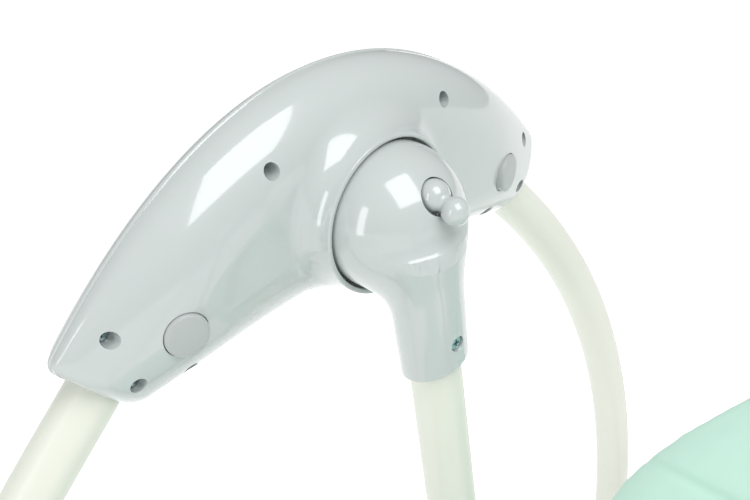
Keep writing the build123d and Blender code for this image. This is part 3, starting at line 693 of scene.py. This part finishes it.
def pegRadius(height):
    length = pegLine.length
    base = math.sqrt(max(0.0, pegShape["baseRadius"] ** 2 - height ** 2))
    tip = math.sqrt(max(0.0, pegShape["tipRadius"] ** 2 - (height - length) ** 2))
    waist = pegShape["neckRadius"] if 0 < height < length else 0.0
    return max(base, tip, waist)


pegProfile = []
pegLength = pegShape["baseRadius"] + pegLine.length + pegShape["tipRadius"]
for k in range(pegShape["steps"] + 1):
    height = -pegShape["baseRadius"] + pegLength * (0.5 - 0.5 * math.cos(math.pi * k / pegShape["steps"]))
    pegProfile.append((pegRadius(height) * mm, height * mm))
peg = newObject("pegLeft", turned(pegProfile, hubPlace(*pegShape["base"]), pegLine, 48))
otherPeg = mirroredCopy(peg, "pegRight")
settle(peg, "swing", "hub_plastic", ["left_peg"], sharp=60)
settle(otherPeg, "swing", "hub_plastic", ["right_peg"], sharp=60)
print("pegs made")


# Pads, swollen by a cloth simulation and then sewn. Lengths are in millimetres, heights are over the seat's or the
# back's plane, and channels are places along it.
seatOrigin, seatNormal = Vector((0, -0.1, 0.202)), Vector((0, 0.12, 0.99277)).normalized()
backOrigin, backNormal = Vector((0, 0.052, 0.186)), Vector((0, -1, 1)).normalized()
acrossSeat = Vector((1, 0, 0))
seatAlong, backAlong = seatNormal.cross(acrossSeat), backNormal.cross(acrossSeat)
pads = {
    "seat_pad": {"body": "swing", "shrink": 4.5, "pressure": 4.0, "cap": 7, "voxel": 6, "origin": seatOrigin,
                 "normal": seatNormal, "along": seatAlong, "seam": 26.6, "channels": (-75, -20, 35)},
    "back_pad": {"body": "seat_back", "shrink": 3.5, "pressure": 4.0, "cap": 5.5, "voxel": 6, "origin": backOrigin,
                 "normal": backNormal, "along": backAlong, "seam": 26.1, "channels": (95, 150)},
    "head_pad": {"body": "seat_back", "shrink": 2.5, "pressure": 4.0, "cap": 5, "voxel": 4, "origin": backOrigin,
                 "normal": backNormal, "along": backAlong, "seam": 48.9, "channels": (208,)},
}
padSewing = {"seamDepth": 1.4, "seamWidth": 1.9, "channelDepth": 2.6, "channelWidth": 3.2, "faceFrom": 2}
padFrames = 20


def sewPad(pad, facts):
    # Draws the perimeter seam in, and the sewn channels down into the upper face
    normals = [vert.normal.copy() for vert in pad.data.vertices]
    for vert, normal in zip(pad.data.vertices, normals):
        offset = (vert.co - facts["origin"]) / mm
        height, along = offset.dot(facts["normal"]), offset.dot(facts["along"])
        level = height - facts["seam"]
        sideways = 1 - abs(normal.dot(facts["normal"]))
        pull = padSewing["seamDepth"] * math.exp(-(level / padSewing["seamWidth"]) ** 2) * sideways
        place = vert.co - normal * pull * mm
        if level > padSewing["faceFrom"]:
            for line in facts["channels"]:
                near = math.exp(-((along - line) / padSewing["channelWidth"]) ** 2)
                place -= facts["normal"] * padSewing["channelDepth"] * near * mm
        vert.co = place


def makePad(nodeName, facts):
    bm = bmesh.new()
    bm.from_mesh(nodes[nodeName].data)
    bmesh.ops.remove_doubles(bm, verts=bm.verts, dist=1e-5)
    bmesh.ops.recalc_face_normals(bm, faces=bm.faces)
    pad = newObject(nodeName.replace("_pad", "Pad"), bm)
    remesh = pad.modifiers.new("even", "REMESH")
    remesh.mode = "VOXEL"
    remesh.voxel_size = facts["voxel"] * mm
    applyModifiers(pad)
    normals = [vert.normal.copy() for vert in pad.data.vertices]
    for vert, normal in zip(pad.data.vertices, normals):
        vert.co -= normal * facts["shrink"] * mm
    start = [vert.co.copy() for vert in pad.data.vertices]
    cloth = pad.modifiers.new("cloth", "CLOTH")
    cloth.settings.use_pressure = True
    cloth.settings.uniform_pressure_force = facts["pressure"]
    cloth.settings.effector_weights.gravity = 0
    for number in range(1, padFrames + 1):
        bpy.context.scene.frame_set(number)
    applyModifiers(pad)
    for vert, place in zip(pad.data.vertices, start):
        moved = vert.co - place
        if moved.length > facts["cap"] * mm:
            vert.co = place + moved.normalized() * facts["cap"] * mm
    bpy.context.scene.frame_set(1)
    smooth = pad.modifiers.new("smooth", "SMOOTH")
    smooth.factor = 0.5
    smooth.iterations = 5
    rounder = pad.modifiers.new("round", "SUBSURF")
    rounder.levels = rounder.render_levels = 1
    applyModifiers(pad)
    sewPad(pad, facts)
    settle(pad, facts["body"], "mint_fabric", [nodeName], sharp=None)


for nodeName, facts in pads.items():
    makePad(nodeName, facts)
print("pads made")

# Harness straps of flat webbing, in millimetres; middle is across and along the seat's or the back's plane
webbing = {"width": 24, "thickness": 1.6, "rise": 1.2, "endDip": 5.0, "endLength": 9.0, "stitchInset": 2.6,
           "hemRib": 0.35, "ribWidth": 0.9, "edge": 0.35}
straps = {
    "leftShoulderStrap": {"node": "left_shoulder_strap", "onBack": True, "middle": (-52, 110), "length": 104},
    "rightShoulderStrap": {"node": "right_shoulder_strap", "onBack": True, "middle": (52, 110), "length": 104},
    "crotchStrap": {"node": "crotch_strap", "onBack": False, "middle": (0, -10), "length": 90},
    "waistStrapLeft": {"node": "waist_straps", "onBack": False, "middle": (-80, 60), "length": 90, "crosswise": True},
    "waistStrapRight": {"node": "waist_straps", "onBack": False, "middle": (80, 60), "length": 90, "crosswise": True},
}
strapGrounds = {True: ("seat_back", backOrigin, backNormal, backAlong, 40.9),
                False: ("swing", seatOrigin, seatNormal, seatAlong, 41.9)}


def makeStrap(name, facts):
    body, origin, normal, along, low = strapGrounds[facts["onBack"]]
    centre = origin + acrossSeat * facts["middle"][0] * mm
    centre += along * facts["middle"][1] * mm
    side = acrossSeat
    if facts.get("crosswise"):
        along, side = side, along
    width, length = webbing["width"], facts["length"]
    bm = bmesh.new()
    bmesh.ops.create_grid(bm, x_segments=12, y_segments=48, size=0.5)
    for vert in bm.verts:
        across, down = vert.co.x * width, vert.co.y * length
        fromEnd = max(0.0, webbing["endLength"] - (length / 2 - abs(down))) / webbing["endLength"]
        fromHem = (width / 2 - abs(across) - webbing["stitchInset"]) / webbing["ribWidth"]
        height = low + webbing["rise"] - webbing["endDip"] * fromEnd ** 2
        height += webbing["hemRib"] * math.exp(-fromHem ** 2)
        vert.co = centre + side * across * mm + along * down * mm + normal * height * mm
    bmesh.ops.recalc_face_normals(bm, faces=bm.faces)
    bm.faces.ensure_lookup_table()
    if bm.faces[0].normal.dot(normal) < 0:
        bmesh.ops.reverse_faces(bm, faces=bm.faces)
    strap = newObject(name, bm)
    thick = strap.modifiers.new("thick", "SOLIDIFY")
    thick.thickness = webbing["thickness"] * mm
    thick.offset = 0
    rim = strap.modifiers.new("rim", "BEVEL")
    rim.width = webbing["edge"] * mm
    rim.segments = 2
    applyModifiers(strap)
    settle(strap, body, "webbing", [facts["node"]], sharp=60)


for strapName, facts in straps.items():
    makeStrap(strapName, facts)
print("straps made")


# Edges of plain moulded parts are eased in copies that stand for them; body, slot and width in millimetres
eased = {"buckle": ("swing", "dark_plastic", 1.4), "rubber_feet": ("base", "black_rubber", 1.2),
         "battery_door": ("battery_door", "panel_plastic", 0.5)}
for nodeName, (body, slotName, width) in eased.items():
    bm = bmesh.new()
    bm.from_mesh(nodes[nodeName].data)
    bmesh.ops.remove_doubles(bm, verts=bm.verts, dist=1e-6)
    bmesh.ops.dissolve_limit(bm, angle_limit=math.radians(1), verts=bm.verts, edges=bm.edges)
    copy = newObject(nodeName.split("_")[0] + "Eased", bm)
    ease = copy.modifiers.new("ease", "BEVEL")
    ease.width = width * mm
    ease.segments = 3
    ease.limit_method = "ANGLE"
    ease.angle_limit = math.radians(50)
    applyModifiers(copy)
    settle(copy, body, slotName, [nodeName], sharp=40)
print("small parts eased")


# A white studio: the sky is plain white to the camera and softer to the object, and two softboxes face the left hub
studio = {"floorSize": 12, "floorDrop": -0.0005, "floorTone": 0.9, "floorGlow": 0.55,
          "low": (0.34, 0.35, 0.345), "high": (0.62, 0.64, 0.63)}
softboxes = {
    "softboxOver": {"place": (0.36, -0.08, 1.46), "size": (0.75, 0.9), "power": 9},
    "softboxFront": {"place": (-0.19, -1.3, 0.78), "size": (0.25, 0.95), "power": 3},
}


def makeSoftbox(name, facts):
    data = bpy.data.lights.new(name, "AREA")
    data.shape = "RECTANGLE"
    data.size, data.size_y = facts["size"]
    data.energy = facts["power"]
    lamp = bpy.data.objects.new(name, data)
    lamp.location = facts["place"]
    lamp.rotation_mode = "QUATERNION"
    lamp.rotation_quaternion = (hubPlace(0, 0, 0) - Vector(facts["place"])).to_track_quat("-Z", "Y")
    bpy.context.scene.collection.objects.link(lamp)


def makeStage():
    bm = bmesh.new()
    bmesh.ops.create_grid(bm, x_segments=1, y_segments=1, size=studio["floorSize"])
    floor = newObject("floor", bm)
    paper = bpy.data.materials.new("palePaper")
    paper.use_nodes = True
    shader = paper.node_tree.nodes["Principled BSDF"]
    shader.inputs["Base Color"].default_value = (*[studio["floorTone"]] * 3, 1)
    shader.inputs["Roughness"].default_value = 0.9
    shader.inputs["Emission Color"].default_value = (1, 1, 1, 1)
    shader.inputs["Emission Strength"].default_value = studio["floorGlow"]
    floor.data.materials.append(paper)
    floor.location.z = studio["floorDrop"]


def makeWorld():
    world = bpy.data.worlds.new("studio")
    world.use_nodes = True
    tree = world.node_tree
    backdrop, sky = tree.nodes["Background"], tree.nodes.new("ShaderNodeBackground")
    backdrop.inputs["Color"].default_value = (1, 1, 1, 1)
    backdrop.inputs["Strength"].default_value = 1.0
    place = tree.nodes.new("ShaderNodeTexCoord")
    split = tree.nodes.new("ShaderNodeSeparateXYZ")
    ramp = tree.nodes.new("ShaderNodeValToRGB")
    ramp.color_ramp.elements[0].position = 0.0
    ramp.color_ramp.elements[0].color = (*studio["low"], 1)
    ramp.color_ramp.elements[1].position = 1.0
    ramp.color_ramp.elements[1].color = (*studio["high"], 1)
    tree.links.new(place.outputs["Generated"], split.inputs["Vector"])
    tree.links.new(split.outputs["Z"], ramp.inputs["Fac"])
    tree.links.new(ramp.outputs["Color"], sky.inputs["Color"])
    seen, mix = tree.nodes.new("ShaderNodeLightPath"), tree.nodes.new("ShaderNodeMixShader")
    tree.links.new(seen.outputs["Is Camera Ray"], mix.inputs["Fac"])
    tree.links.new(sky.outputs["Background"], mix.inputs[1])
    tree.links.new(backdrop.outputs["Background"], mix.inputs[2])
    tree.links.new(mix.outputs["Shader"], tree.nodes["World Output"].inputs["Surface"])
    bpy.context.scene.world = world


bpy.context.scene.view_settings.view_transform = "Standard"
makeStage()
makeWorld()
for boxName, facts in softboxes.items():
    makeSoftbox(boxName, facts)
print("stage lit")
